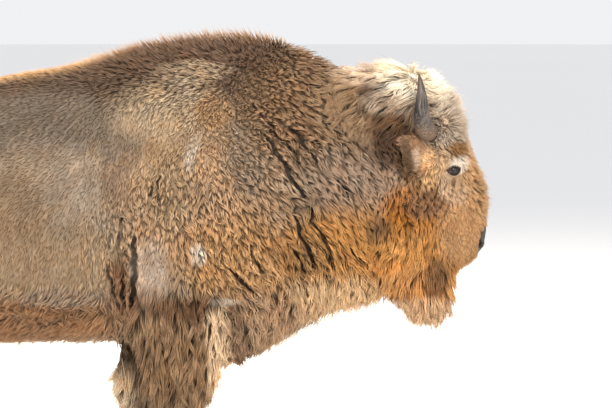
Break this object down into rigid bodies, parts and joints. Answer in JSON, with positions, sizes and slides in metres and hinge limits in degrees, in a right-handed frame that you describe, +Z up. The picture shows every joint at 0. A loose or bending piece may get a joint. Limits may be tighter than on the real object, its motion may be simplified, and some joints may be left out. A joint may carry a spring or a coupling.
{
  "type": "american bison",
  "caption": "Life-size standing American bison in a pale, woolly winter coat, with a high hump, low bearded head and short upcurved horns.",
  "frame": {"origin": "on the ground, under the middle of the body's bounding box", "axes": "+X forward, the way the head faces; +Y to the animal's left; +Z up"},
  "size_m": [2.5608, 0.6676, 1.6396],
  "materials": {
    "coat": "woolly tan fur, greyer on the barrel, with darker back and deep creases",
    "mane": "longer fur, ochre on cheek and throat, cream on the crown",
    "horn": "dull grey-brown keratin with fine lengthwise grain",
    "hoof": "dark keratin, dull, with growth rings",
    "nose": "dark grey pebbled bare skin, slightly moist",
    "eye": "wet, dark brown"
  },
  "bodies": {
    "root": {"trunk": "coat", "neck": "mane", "head": "mane", "beard": "mane", "tail": "coat", "foreleg_right": "coat", "toe_fore_right_inner": "hoof", "dewclaw_fore_right_inner": "hoof", "toe_fore_right_outer": "hoof", "dewclaw_fore_right_outer": "hoof", "hindleg_right": "coat", "toe_hind_right_inner": "hoof", "dewclaw_hind_right_inner": "hoof", "toe_hind_right_outer": "hoof", "dewclaw_hind_right_outer": "hoof", "horn_right": "horn", "eye_right": "eye", "ear_right": "coat", "foreleg_left": "coat", "toe_fore_left_inner": "hoof", "dewclaw_fore_left_inner": "hoof", "toe_fore_left_outer": "hoof", "dewclaw_fore_left_outer": "hoof", "hindleg_left": "coat", "toe_hind_left_inner": "hoof", "dewclaw_hind_left_inner": "hoof", "toe_hind_left_outer": "hoof", "dewclaw_hind_left_outer": "hoof", "horn_left": "horn", "eye_left": "eye", "ear_left": "coat"}
  },
  "joints": []
}
